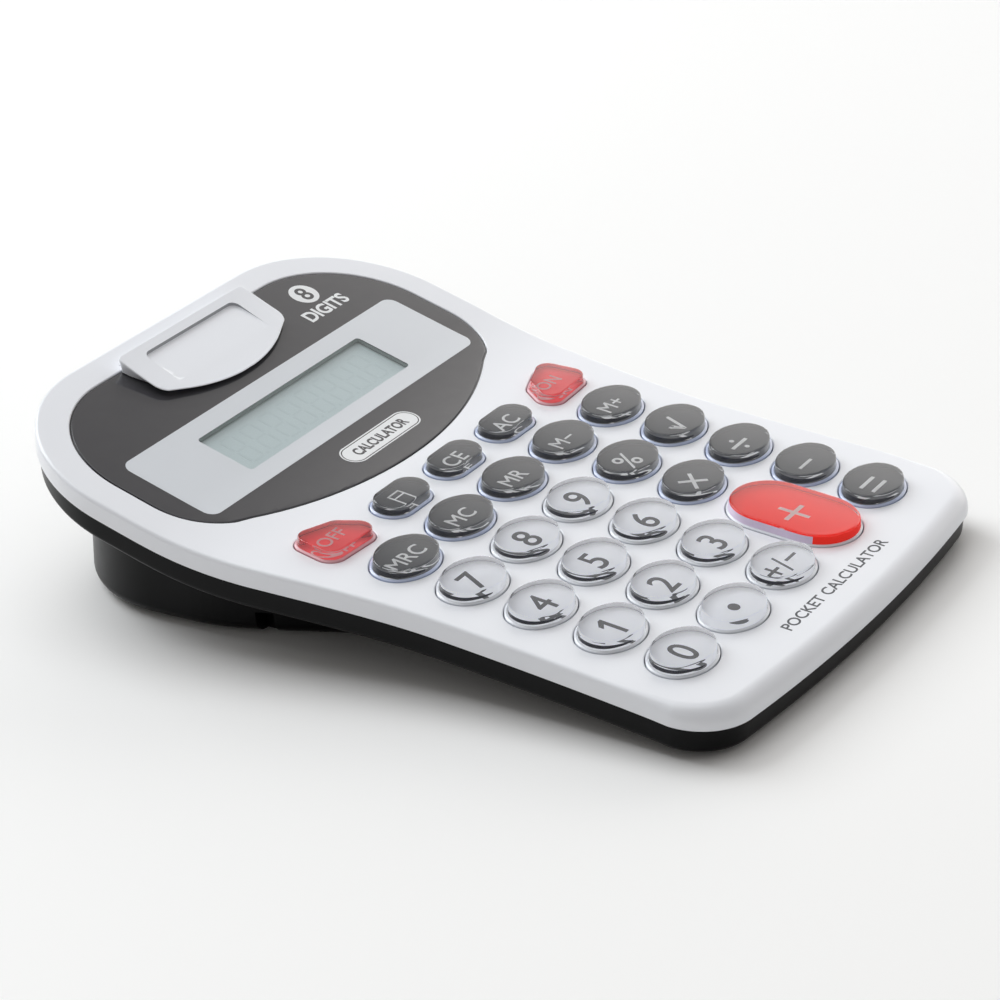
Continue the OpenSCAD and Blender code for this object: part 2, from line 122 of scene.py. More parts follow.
def lens_outline():
    half = arc(0, 97.4, 67, -88.5, -61, 14) + arc(27.2, 51.3, 13.9, -54, 0, 14)
    half += arc(22.4, 58.2, 18.7, 0, 90, 22)
    return both_sides(half + [(4, 76.9)])


def foot_outline():
    def half_w(y):
        return FOOT_W / 2 - 9 * ease((46 - y) / 36)
    half = [(7, FOOT_FRONT), (16, FOOT_FRONT)]
    half += arc(half_w(FOOT_FRONT) - 6, FOOT_FRONT + 6, 6, -90, -20, 10)
    half += [(half_w(y), y) for y in steps(20, 52, 2)]
    half += arc(FOOT_W / 2 - 24, FOOT_REAR - 24, 24, 0, 90, 30)
    return both_sides(half + [(8, FOOT_REAR)])


def clip_outline():
    half = arc(0, CLIP_FRONT + 29.5, 29.5, -87, -63, 9)
    half += arc(CLIP_W / 2 - 3, CLIP_FRONT + 6.6, 3, -50, 0, 8)
    half += [(CLIP_W / 2, 72.0), (CLIP_W / 2, 75.0)]
    half += arc(CLIP_W / 2 - 1.0, CLIP_REAR - 1.0, 1.0, 0, 90, 6)
    return both_sides(half + [(10, CLIP_REAR), (3, CLIP_REAR)])


def oval(w, l):
    """An oval of four arcs: tight ones at its ends, flat ones along its sides."""
    r = 0.4 * l
    x = w / 2 - r
    side_r = (x * x + l * l / 4 - r * r) / (l - 2 * r)
    y = side_r - l / 2
    turn = math.degrees(math.atan2(y, x))
    gap = (90 - turn) / 8
    right = arc(x, 0, r, -turn, turn, 16) + arc(0, -y, side_r, turn + gap, 180 - turn - gap, 14)
    return right + [(-px, -py) for px, py in right]


def stadium(w, l):
    r = min(w, l) / 2
    if w > l:
        right = arc(w / 2 - r, 0, r, -90, 90, 20) + [(w / 6 - r / 3, r)]
    else:
        right = [(r, y) for y in steps(r - l / 2 + 1, l / 2 - r - 1, 3)] + arc(0, l / 2 - r, r, 0, 180, 24)
    return right + [(-px, -py) for px, py in right]


def rounded(centres, r, count=8):
    """A convex outline with round corners, from the corners' centres."""
    out = []
    for i, (x, y) in enumerate(centres):
        (ax, ay), (cx, cy) = centres[i - 1], centres[(i + 1) % len(centres)]
        first = math.degrees(math.atan2(y - ay, x - ax)) - 90
        last = math.degrees(math.atan2(cy - y, cx - x)) - 90
        out += arc(x, y, r, first, last if last > first else last + 360, count)
    return out


def rounded_box(x, front, rear, r):
    """An outline centred on x = 0, of half width x."""
    return rounded([(x - r, front + r), (x - r, rear - r), (r - x, rear - r), (r - x, front + r)], r)


def inset(outline, d):
    """The outline moved inwards by d, a number or a function of the point. Outlines run anticlockwise."""
    out = []
    for i, (x, y) in enumerate(outline):
        (ax, ay), (bx, by) = outline[i - 1], outline[(i + 1) % len(outline)]
        run = math.hypot(bx - ax, by - ay)
        move = d((x, y)) if callable(d) else d
        out.append((x - (by - ay) / run * move, y + (bx - ax) / run * move))
    return out


# ---------------------------------------------------------------- mesh tools

def loft(rings):
    """A closed solid through rings of (x, y, z) points, lowest first."""
    bm = bmesh.new()
    rows = [[bm.verts.new(p) for p in ring] for ring in rings]
    n = len(rows[0])
    bm.faces.new(list(reversed(rows[0])))
    for low, high in zip(rows, rows[1:]):
        for i in range(n):
            j = (i + 1) % n
            bm.faces.new((low[i], low[j], high[j], high[i]))
    bm.faces.new(rows[-1])
    return bm


def hoop(outline, profile):
    """A ring that follows the outline, from a closed profile of (inset, z) points."""
    bm = bmesh.new()
    rows = [[bm.verts.new((x, y, z)) for x, y in inset(outline, d)] for d, z in profile]
    for row, following in zip(rows, rows[1:] + rows[:1]):
        for i in range(len(outline)):
            j = (i + 1) % len(outline)
            bm.faces.new((row[i], row[j], following[j], following[i]))
    return bm


def slab(outline, levels):
    """A solid from an outline, with (inset, z) levels from low to high."""
    return loft([[(x, y, z) for x, y in inset(outline, d)] for d, z in levels])


def rounded_top(r, top, d=0.0, count=5):
    angles = [math.pi / 2 * i / count for i in range(count + 1)]
    return [(d + r * (1 - math.cos(a)), top - r + r * math.sin(a)) for a in angles]


def rounded_bottom(r, bottom, d=0.0, count=5):
    return [(in_by, 2 * bottom - z) for in_by, z in reversed(rounded_top(r, bottom, d, count))]


def box(low, high):
    return loft([[(low[0], low[1], z), (high[0], low[1], z), (high[0], high[1], z), (low[0], high[1], z)]
                 for z in (low[2], high[2])])


def rod_x(y, z, r, half_l, count=48):
    """A cylinder along X."""
    ring = arc(y, z, r, 0, 360 - 360 / count, count - 1)
    return loft([[(x, py, pz) for py, pz in ring] for x in (-half_l, half_l)])


def moved(bm, matrix):
    bm.transform(matrix)
    return bm


def joined(parts):
    out = bmesh.new()
    for part in parts:
        mesh = bpy.data.meshes.new("part")
        part.to_mesh(mesh)
        out.from_mesh(mesh)
        part.free()
        bpy.data.meshes.remove(mesh)
    return out


def loose_object(bm, name="loose"):
    mesh = bpy.data.meshes.new(name)
    bmesh.ops.recalc_face_normals(bm, faces=bm.faces)
    bm.to_mesh(mesh)
    bm.free()
    ob = bpy.data.objects.new(name, mesh)
    bpy.context.scene.collection.objects.link(ob)
    return ob


def boolean(bm, operation, *others):
    """bm with other solids added or cut away."""
    ob = loose_object(bm)
    cutters = [loose_object(o) for o in others]
    for cutter in cutters:
        mod = ob.modifiers.new("boolean", "BOOLEAN")
        mod.operation, mod.object, mod.solver = operation, cutter, "MANIFOLD"
    evaluated = ob.evaluated_get(bpy.context.evaluated_depsgraph_get())
    out = bmesh.new()
    out.from_mesh(evaluated.to_mesh())
    evaluated.to_mesh_clear()
    for o in [ob] + cutters:
        mesh = o.data
        bpy.data.objects.remove(o)
        bpy.data.meshes.remove(mesh)
    return out


def cut(bm, *others):
    return boolean(bm, "DIFFERENCE", *others)


def top_z(y):
    """Height of the keyboard and display face at y."""
    if y < BEND_Y - BEND_HALF:
        return 0.0
    if y > BEND_Y + BEND_HALF:
        return (y - BEND_Y) * math.tan(SLOPE)
    return math.tan(SLOPE) * (y - BEND_Y + BEND_HALF) ** 2 / (4 * BEND_HALF)


def desk_z(y):
    """Height of the desk at y, in the case frame."""
    return -DESK_DROP - y * math.tan(LEAN)


def warp(bm, cuts, height):
    """Slices a flat solid across Y at the cuts, then lifts each vertex by height(vertex)."""
    bmesh.ops.triangulate(bm, faces=[f for f in bm.faces if len(f.verts) > 4])
    for y in cuts:
        bmesh.ops.bisect_plane(bm, geom=bm.verts[:] + bm.edges[:] + bm.faces[:], dist=1e-5,
                               plane_co=(0, y, 0), plane_no=(0, 1, 0))
    for v in bm.verts:
        v.co.z += height(v.co)
    return bm


BEND_CUTS = steps(BEND_Y - BEND_HALF, BEND_Y + BEND_HALF, 1.0)


def on_face(bm):
    """Lays a flat solid on the keyboard and display face."""
    return warp(bm, BEND_CUTS, lambda co: top_z(co.y))


def piece(name, bm, body, slot, *materials, replaces=(), sharp=32, weighted=True):
    """Turns millimetre geometry into a shaded object that rides on a CAD body."""
    bmesh.ops.remove_doubles(bm, verts=bm.verts, dist=2e-4)
    ob = loose_object(moved(bm, CASE), name)
    mesh = ob.data
    for material in materials:
        mesh.materials.append(material)
    mesh.shade_smooth()
    mesh.set_sharp_from_angle(angle=math.radians(sharp))
    if weighted:
        ob.modifiers.new("normals", "WEIGHTED_NORMAL").keep_sharp = True
    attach(ob, body)
    if replaces:
        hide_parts(*replaces)
    return ob


def paint(bm, index):
    """Gives every face of bm a material slot number."""
    for f in bm.faces:
        f.material_index = index
    return bm


FONT_SIZE, CAPITAL_H, INK_T = 10, 7.3, 0.02


def lettering(text, height, weight=0.0, width=None):
    """Flat text in the built-in font, centred on the origin, with its capitals this tall."""
    curve = bpy.data.curves.new("text", "FONT")
    curve.body, curve.size, curve.extrude, curve.offset = text, FONT_SIZE, 0.5, weight
    curve.resolution_u = 5
    ob = bpy.data.objects.new("text", curve)
    bpy.context.scene.collection.objects.link(ob)
    evaluated = ob.evaluated_get(bpy.context.evaluated_depsgraph_get())
    bm = bmesh.new()
    bm.from_mesh(evaluated.to_mesh())
    evaluated.to_mesh_clear()
    bpy.data.objects.remove(ob)
    bpy.data.curves.remove(curve)
    xs, ys = [v.co.x for v in bm.verts], [v.co.y for v in bm.verts]
    middle = Vector(((min(xs) + max(xs)) / 2, (min(ys) + max(ys)) / 2, -0.5))
    scale = height / CAPITAL_H
    across = width / (max(xs) - min(xs)) if width else scale
    return moved(bm, Matrix.Diagonal((across, scale, INK_T, 1)) @ Matrix.Translation(-middle))


def bold(text, height, spread, **more):
    """Text thickened by copies moved this far each way, each at its own level."""
    moves = ((-1, -1), (1, -1), (-1, 1), (1, 1), (0, 0))
    return joined([at(lettering(text, height, **more), dx * spread, dy * spread, 0.002 * i)
                   for i, (dx, dy) in enumerate(moves)])


def strokes(bars, thick=INK_T):
    """Bars given as (x, y, width, length) round their middles."""
    return joined([box((x - w / 2, y - l / 2, 0), (x + w / 2, y + l / 2, thick)) for x, y, w, l in bars])


def at(bm, x, y, z=0.0):
    return moved(bm, Matrix.Translation((x, y, z)))


# ---------------------------------------------------------------- materials

def shader(name, colour, roughness, **inputs):
    """A new material's Principled node, with plain values on its sockets."""
    material = bpy.data.materials.new(name)
    material.use_nodes = True
    node = material.node_tree.nodes["Principled BSDF"]
    node.inputs["Base Color"].default_value = (*colour, 1)
    node.inputs["Roughness"].default_value = roughness
    for key, value in inputs.items():
        node.inputs[key.replace("_", " ").title().replace("Ior", "IOR")].default_value = value
    return material, node


def noise(tree, scale, detail=2.0):
    coords = tree.nodes.new("ShaderNodeTexCoord")
    texture = tree.nodes.new("ShaderNodeTexNoise")
    texture.inputs["Scale"].default_value = scale
    texture.inputs["Detail"].default_value = detail
    tree.links.new(coords.outputs["Object"], texture.inputs["Vector"])
    return texture.outputs[0]


def ramp(tree, source, low, high):
    """source, from 0 to 1, spread between low and high."""
    node = tree.nodes.new("ShaderNodeMapRange")
    node.inputs["To Min"].default_value, node.inputs["To Max"].default_value = low, high
    tree.links.new(source, node.inputs["Value"])
    return node.outputs["Result"]


def tone(material, node, colour, spread, scale):
    """Drifts the base colour a little over the surface."""
    tree = material.node_tree
    mix = tree.nodes.new("ShaderNodeMix")
    mix.data_type = "RGBA"
    mix.inputs["A"].default_value = (*[c * (1 - spread) for c in colour], 1)
    mix.inputs["B"].default_value = (*[min(1.0, c * (1 + spread)) for c in colour], 1)
    tree.links.new(noise(tree, scale), mix.inputs["Factor"])
    tree.links.new(mix.outputs["Result"], node.inputs["Base Color"])


def grain(material, node, scale, depth_mm):
    """A fine bump."""
    tree = material.node_tree
    bump = tree.nodes.new("ShaderNodeBump")
    bump.inputs["Strength"].default_value = 1.0
    bump.inputs["Distance"].default_value = depth_mm / 1000
    tree.links.new(noise(tree, scale, 3.0), bump.inputs["Height"])
    tree.links.new(bump.outputs["Normal"], node.inputs["Normal"])


def plastic(name, colour, roughness, spread=0.03, grain_mm=0.0, grain_scale=9000, **inputs):
    """A moulded plastic: colour drift, uneven gloss and an optional texture from the mould."""
    material, node = shader(name, colour, roughness, **inputs)
    tone(material, node, colour, spread, 60)
    tree = material.node_tree
    tree.links.new(ramp(tree, noise(tree, 350, 4.0), roughness * 0.85, roughness * 1.15),
                   node.inputs["Roughness"])
    if grain_mm:
        grain(material, node, grain_scale, grain_mm)
    return material


def metal(name, colour, roughness, **inputs):
    material, node = shader(name, colour, roughness, metallic=1.0, **inputs)
    tone(material, node, colour, 0.06, 400)
    tree = material.node_tree
    tree.links.new(ramp(tree, noise(tree, 2500, 4.0), roughness * 0.6, roughness * 1.4),
                   node.inputs["Roughness"])
    return material


def clear(name, colour, roughness=0.0, ior=1.49):
    material, node = shader(name, colour, roughness, ior=ior, transmission_weight=1.0)
    tree = material.node_tree
    tree.links.new(ramp(tree, noise(tree, 300, 3.0), roughness, roughness + 0.03), node.inputs["Roughness"])
    return material


def pane(name):
    """Thin clear plastic: what lies behind it shows unbent, under a weak mirror."""
    material = bpy.data.materials.new(name)
    material.use_nodes = True
    tree = material.node_tree
    tree.nodes.clear()
    out = tree.nodes.new("ShaderNodeOutputMaterial")
    mix = tree.nodes.new("ShaderNodeMixShader")
    through = tree.nodes.new("ShaderNodeBsdfTransparent")
    mirror = tree.nodes.new("ShaderNodeBsdfGlossy")
    through.inputs["Color"].default_value = (0.97, 0.98, 0.98, 1)
    mirror.inputs["Roughness"].default_value = 0.03
    mix.inputs[0].default_value = 0.05
    tree.links.new(through.outputs[0], mix.inputs[1])
    tree.links.new(mirror.outputs[0], mix.inputs[2])
    tree.links.new(mix.outputs[0], out.inputs[0])
    return material


WHITE = plastic("pearl_white", (0.85, 0.865, 0.905), 0.32, spread=0.012, grain_mm=0.004,
                coat_weight=0.25, coat_roughness=0.12)
# Painted light: the case white made brighter on the clip, to make up for the clip facing away from the rear
# lamp.
CLIP_WHITE_BRIGHTENED = plastic("clip_white", (0.91, 0.93, 0.975), 0.3, spread=0.01, coat_weight=0.25,
                     coat_roughness=0.1)
# Painted shade: a grey for the clip scoop's steep walls, standing in for the shadow inside the scoop.
SCOOP_WALL_SHADE = plastic("scoop_wall_painted_shade", (0.40, 0.41, 0.44), 0.5, spread=0.05)
BLACK = plastic("satin_black", (0.003, 0.003, 0.0034), 0.33, spread=0.1, grain_mm=0.008, grain_scale=5000,
                specular_ior_level=0.12)
LENS = plastic("lens_print", (0.034, 0.033, 0.038), 0.5, spread=0.02, specular_ior_level=0.2,
               coat_weight=1.0, coat_roughness=0.03)
SILVER = plastic("silver_print", (0.64, 0.67, 0.71), 0.42, spread=0.03, metallic=0.35,
                 coat_weight=1.0, coat_roughness=0.04)
WHITE_INK = plastic("white_ink", (0.82, 0.83, 0.84), 0.5, spread=0.01)
GREY_INK = plastic("grey_ink", (0.075, 0.08, 0.09), 0.5, spread=0.02)
PANE = pane("clear_window")
CRYSTAL = plastic("liquid_crystal", (0.585, 0.665, 0.685), 0.45, spread=0.03)
CELL_GLASS = plastic("cell_glass", (0.30, 0.36, 0.35), 0.1, spread=0.02)
SEGMENT = plastic("unlit_segment", (0.555, 0.635, 0.655), 0.45, spread=0.02)
CAP = clear("clear_cap", (0.985, 0.987, 0.99))
RED_CAP = clear("red_cap", (1.0, 0.86, 0.86))
ROSE_CAP = clear("rose_cap", (0.96, 0.5, 0.52))
# The key films glow faintly. This is painted light that makes up for the lamp light the clear caps hold back
# from them.
DIGIT_FILM_GLOW = plastic("digit_film_painted_glow", (0.86, 0.88, 0.93), 0.5, spread=0.01, specular_ior_level=0.1,
                     emission_color=(0.86, 0.88, 0.95, 1), emission_strength=0.13)
DARK_FILM_GLOW = plastic("dark_film_painted_glow", (0.03, 0.031, 0.035), 0.5, spread=0.05, specular_ior_level=0.1,
                    emission_color=(0.88, 0.93, 1.0, 1), emission_strength=0.055)
RED_FILM_GLOW = plastic("red_film_painted_glow", (1.0, 0.03, 0.022), 0.5, spread=0.04, specular_ior_level=0.1,
                   emission_color=(1.0, 0.05, 0.03, 1), emission_strength=0.18)
ROSE_FILM_GLOW = plastic("rose_film_painted_glow", (0.9, 0.14, 0.15), 0.5, spread=0.08, specular_ior_level=0.1,
                    emission_color=(1.0, 0.3, 0.32, 1), emission_strength=0.1)
COLLAR = plastic("key_collar", (0.80, 0.825, 0.88), 0.25, spread=0.01, coat_weight=0.4)
ROSE_COLLAR = plastic("rose_collar", (0.78, 0.42, 0.46), 0.25, spread=0.05)
BLUE_COLLAR = plastic("blue_collar", (0.55, 0.62, 0.82), 0.2, spread=0.06, coat_weight=0.5)
# Painted dark reflection, for the streaks inside the clear caps.
PAINTED_DARK_STREAK = plastic("painted_dark_reflection", (0.006, 0.008, 0.022), 0.5, spread=0.1)
# Painted light: a pale lavender standing in for the light seen in the side wall of the red clear plus key.
LAVENDER_SHEEN = plastic("painted_lavender_sheen", (0.86, 0.72, 0.92), 0.25, spread=0.06)
CARRIER = plastic("key_carrier", (0.58, 0.61, 0.68), 0.5, spread=0.05)
RUBBER = plastic("foot_rubber", (0.018, 0.018, 0.018), 0.75, spread=0.15, grain_mm=0.02, grain_scale=3000)
SILICONE = plastic("silicone", (0.42, 0.43, 0.44), 0.55, grain_mm=0.01)
BOARD = plastic("solder_mask", (0.02, 0.15, 0.06), 0.35, spread=0.12, grain_mm=0.01, grain_scale=2500)
HOLDER = plastic("holder", (0.05, 0.05, 0.055), 0.45, grain_mm=0.01)
RIBBON = plastic("ribbon", (0.45, 0.22, 0.03), 0.25, spread=0.1)
EPOXY = plastic("epoxy", (0.01, 0.01, 0.01), 0.15, spread=0.2)
SLEEVE = plastic("capacitor_sleeve", (0.01, 0.02, 0.12), 0.3, spread=0.1)
WIRE = plastic("lead_sleeve", (0.40, 0.02, 0.02), 0.4, spread=0.05)
STEEL = metal("bright_steel", (0.62, 0.62, 0.62), 0.25)
SPRING = metal("spring_steel", (0.60, 0.60, 0.57), 0.3)
JACKET = metal("battery_jacket", (0.55, 0.20, 0.02), 0.35)


# ---------------------------------------------------------------- keys

# Name, shape, column, row, legend, film, legend height
DIGIT, DARK, RED = "digit", "dark", "red"
KEYS = [
    ("recall_clear", "oval", 0, 0, "MRC", DARK, 2.9), ("memory_clear", "oval", 1, 0, "MC", DARK, 2.9),
    ("memory_recall", "oval", 2, 0, "MR", DARK, 2.9), ("memory_minus", "oval", 3, 0, "M−", DARK, 2.9),
    ("memory_plus", "oval", 4, 0, "M+", DARK, 2.9), ("7", "oval", 0, 1, "7", DIGIT, 4.9),
    ("8", "oval", 1, 1, "8", DIGIT, 4.9), ("9", "oval", 2, 1, "9", DIGIT, 4.9),
    ("percent", "oval", 3, 1, "%", DARK, 4.4), ("root", "oval", 4, 1, "√", DARK, 4.4),
    ("4", "oval", 0, 2, "4", DIGIT, 4.9), ("5", "oval", 1, 2, "5", DIGIT, 4.9),
    ("6", "oval", 2, 2, "6", DIGIT, 4.9), ("times", "oval", 3, 2, "×", DARK, 7.0),
    ("divide", "oval", 4, 2, "÷", DARK, 7.0), ("1", "oval", 0, 3, "1", DIGIT, 4.9),
    ("2", "oval", 1, 3, "2", DIGIT, 4.9), ("3", "oval", 2, 3, "3", DIGIT, 4.9),
    ("minus", "oval", 4, 3, "−", DARK, 6.0), ("0", "oval", 0, 4, "0", DIGIT, 4.9),
    ("point", "oval", 1, 4, ".", DIGIT, 9.0), ("sign", "oval", 2, 4, "+/−", DIGIT, 4.4),
    ("equals", "oval", 4, 4, "=", DARK, 7.0), ("plus", "tall", 3, 3.5, "+", RED, 8.6),
    ("total", "bar", 1, -0.92, None, DARK, 3.0), ("clear", "bar", 2, -0.92, "CE", DARK, 2.9),
    ("all_clear", "bar", 3, -0.92, "AC", DARK, 2.9),
    ("off", "corner", -1, 0, "OFF", RED, 2.5), ("on", "corner", 1, 0, "ON", RED, 2.5),
]


def key_outline(shape, column):
    if shape == "oval":
        return oval(KEY_W, KEY_L)
    if shape == "bar":
        return stadium(*BAR_KEY)
    if shape == "tall":
        return stadium(*TALL_KEY)
    centres = CORNER_KEY if column > 0 else [(-x, y) for x, y in reversed(CORNER_KEY)]
    return rounded(centres, CORNER_KEY_R, 12)


def key_place(shape, column, row):
    return (0, 0) if shape == "corner" else ((column - 2) * COL_PITCH, (1 - row) * ROW_PITCH)


def middle_of(outline):
    xs, ys = [p[0] for p in outline], [p[1] for p in outline]
    return (min(xs) + max(xs)) / 2, (min(ys) + max(ys)) / 2


def shrunk(ring, middle, share, z):
    mx, my = middle
    return [(mx + (p[0] - mx) * share, my + (p[1] - my) * share, z) for p in ring]


def crowned(bm, outline, crown):
    """Sinks a cap's top edge a little below its middle."""
    cx, cy = middle_of(outline)
    half_x = max(p[0] for p in outline) - cx
    half_y = max(p[1] for p in outline) - cy
    for v in bm.verts:
        if v.co.z > KEY_RISE - 0.5:
            v.co.z -= crown * min(1.0, ((v.co.x - cx) / half_x) ** 2 + ((v.co.y - cy) / half_y) ** 2)
    return bm


def cap_shape(outline):
    """A clear cap: drafted sides, a small round edge and a slightly crowned top."""
    levels = [(0.03, CAP_BOTTOM), (0.03, 0.2), (0.13, 1.4)] + rounded_top(0.26, KEY_RISE, 0.13, 6)
    rings = [[(x, y, z) for x, y in inset(outline, d)] for d, z in levels]
    edge, middle = rings[-1], middle_of(outline)
    rings += [shrunk(edge, middle, share, KEY_RISE) for share in (0.97, 0.88, 0.72, 0.54, 0.36, 0.18)]
    return crowned(loft(rings), outline, 0.12)


def painted_streak(outline, half_height):
    """A dark band inside a clear cap, along its left wall and thin towards its ends: a painted dark
    reflection standing in for the dark shapes seen in a clear cap's wall.
    """
    half_x, half_y = max(p[0] for p in outline), max(p[1] for p in outline)
    bm = bmesh.new()
    rows = []
    for p, near, far in zip(outline, inset(outline, 0.2), inset(outline, 0.3)):
        facing = -0.98 * p[0] / half_x + 0.1 * p[1] / half_y
        if facing > 0.1:
            tall = 0.03 + half_height * math.sqrt((facing - 0.1) / 0.9)
            middle = 0.72 + 0.1 * p[1] / half_y
            rows.append([bm.verts.new((*q, middle + h)) for q, h in
                         ((near, -tall), (far, -tall), (far, tall), (near, tall))])
    bm.faces.new(rows[0])
    bm.faces.new(rows[-1][::-1])
    for row, following in zip(rows, rows[1:]):
        for i in range(4):
            j = (i + 1) % 4
            bm.faces.new((row[i], row[j], following[j], following[i]))
    return bm


def numeral_one():
    outline = [(0.05, -2.45), (0.85, -2.45), (0.85, 2.45), (0.2, 2.45), (-1.05, 1.5), (-1.05, 0.6),
               (0.05, 1.3)]
    return loft([[(x, y, z) for x, y in outline] for z in (0.0, 0.02)])


def legend_shape(legend, height):
    if legend is None:
        return strokes([(-1.3, 0, 0.35, 3.4), (1.3, 0, 0.35, 3.4), (0, 1.55, 2.9, 0.35), (0, 0.4, 2.3, 0.3)])
    if legend == "1":
        return numeral_one()
    if legend == ".":
        return disc(0, 0, 0.95, 0, 0.02)
    if legend.isdigit():
        return bold(legend, height, 0.06)
    return bold(legend, height, 0.03) if height < 4.6 else lettering(legend, height, weight=-0.08)


def make_key(name, shape, column, row, legend, film, height):
    outline = key_outline(shape, column)
    x, y = key_place(shape, column, row)
    body = f"key_{name}_body"
    slot = {DIGIT: "digit_key", DARK: "function_key", RED: "red_key"}[film]
    tints = {"corner": ROSE_CAP, "tall": RED_CAP}
    piece(f"cap_{name}", at(cap_shape(outline), x, y), body, slot, tints.get(shape, CAP),
          replaces=(f"key_{name}",), sharp=60, weighted=False)
    sheet = slab(outline, [(0.1, FILM_Z - 0.04), (0.1, FILM_Z)])
    mark = legend_shape(legend, height)
    cx, cy = middle_of(outline)
    if shape == "corner":
        cx, cy = cx - 0.3, cy + 0.3
    at(mark, cx, cy, FILM_Z + 0.005)
    carrier = slab(outline, [(-0.6, KEY_BOTTOM), (-0.7, KEY_BOTTOM + 0.1), (-0.7, -1.8), (-0.6, -1.72),
                             (0.1, -1.72), (0.1, CAP_BOTTOM - 0.05)])
    collar = hoop(outline, [(-SKIRT, -1.0), (0.0, -1.0), (0.0, 0.22), (-0.08, 0.2), (-SKIRT + 0.06, 0.1),
                            (-SKIRT, 0.02)])
    parts = [paint(sheet, 0), paint(mark, 1), paint(carrier, 2), paint(collar, 3)]
    # A painted dark reflection along the cap's left wall.
    if shape in ("oval", "bar") and legend != ".":
        parts.append(paint(painted_streak(outline, 0.26 if film == DIGIT else 0.4), 4))
    if shape == "tall":
        # A band inside the plus key's wall. Its front end is red film and the rest is painted lavender
        # sheen.
        jacket = hoop(outline, [(-0.06, 0.1), (0.01, 0.1), (0.1, 1.4), (0.08, 1.42), (0.05, 1.38)])
        for f in jacket.faces:
            f.material_index = 5 if f.calc_center_median().y > -6.5 else 0
        parts.append(jacket)
    # Each film carries its faint painted glow.
    films = {DIGIT: DIGIT_FILM_GLOW, DARK: DARK_FILM_GLOW, RED: RED_FILM_GLOW}
    collars = {DIGIT: COLLAR, DARK: BLUE_COLLAR, RED: ROSE_COLLAR if shape == "corner" else COLLAR}
    piece(f"print_{name}", at(joined(parts), x, y), body, slot,
          ROSE_FILM_GLOW if shape == "corner" else films[film],
          GREY_INK if film == DIGIT else WHITE_INK, CARRIER, collars[film], PAINTED_DARK_STREAK, LAVENDER_SHEEN)


# ---------------------------------------------------------------- case

def make_upper_case():
    """The white shell. The round edge of its top widens to the front."""
    outline = case_outline()

    def edge_r(p):
        return 0.7 + 2.3 * ease((-30 - p[1]) / 20)
    levels = [(0.12, -UPPER_H), (0.0, -UPPER_H + 0.12)]
    for i in range(7):
        a = math.pi / 2 * i / 6
        levels.append((lambda p, s=1 - math.cos(a): edge_r(p) * s, ("rim", math.sin(a))))
    rings = []
    for d, z in levels:
        ring = []
        for (x, y), p in zip(inset(outline, d), outline):
            height = z if not isinstance(z, tuple) else -edge_r(p) * (1 - z[1])
            ring.append((x, y, height))
        rings.append(ring)
    shell = cut(loft(rings), slab(outline, [(WALL, -UPPER_H - 1), (WALL, -WALL)]))
    shell = boolean(shell, "UNION", box((-20, 71.8, -5.8), (20, 80.95, -1.2)))
    holes = []
    hole = SKIRT + KEY_GAP
    for _, shape, column, row, *_ in KEYS:
        x, y = key_place(shape, column, row)
        rim = [(-hole, -4), (-hole, -0.22), (-hole - 0.05, -0.1), (-hole - 0.2, 0.0), (-hole - 0.2, 2)]
        holes.append(at(slab(key_outline(shape, column), rim), x, y))
    recess = slab(lens_outline(), [(-0.32, -LENS_T), (-0.32, -0.14), (-0.46, 0.0), (-0.46, 2)])
    window = slab(rounded_box(WINDOW_W / 2 + 0.6, WINDOW_Y - 5.95, WINDOW_Y + 5.95, 0.8),
                  [(0, -4), (0, 2)])
    shell = on_face(cut(shell, joined(holes), recess, window))
    trough = rod_x(PIN_Y, top_z(PIN_Y) - PIN_DROP, TROUGH_R, TROUGH_W / 2)
    piece("upper_shell", cut(shell, trough), "case", "case_white", WHITE, replaces=("upper_case",))


def desk_box(low, high):
    return moved(box(low, high), DESK_IN_CASE)


def foot_body():
    """The rear foot as a flat solid whose lower levels follow the desk and upper ones the case."""
    top_level = 40.0
    levels = rounded_bottom(2.0, FOOT_GAP, 0.0, 7) + [(0.0, 12.0), (0.0, top_level)]
    return warp(slab(foot_outline(), levels), BEND_CUTS, lambda co: (
        top_z(co.y) - 6.9 - top_level if co.z > 30 else desk_z(co.y)))


def foot_cavity():
    levels = [(WALL + 3, FOOT_GAP + WALL), (WALL + 0.8, FOOT_GAP + WALL + 1.4), (WALL, 6.5), (WALL, 60)]
    flat = slab(foot_outline(), levels)
    for v in flat.verts:
        v.co.z += desk_z(v.co.y)
    return flat


def door_block(g):
    return desk_box((-DOOR_HALF_W - g, DOOR_FRONT - g, -5), (DOOR_HALF_W + g, 120, DOOR_H + g))


def disc(x, y, r, low, high):
    ring = arc(x, y, r, 0, 350, 35)
    return loft([[(px, py, z) for px, py in ring] for z in (low, high)])


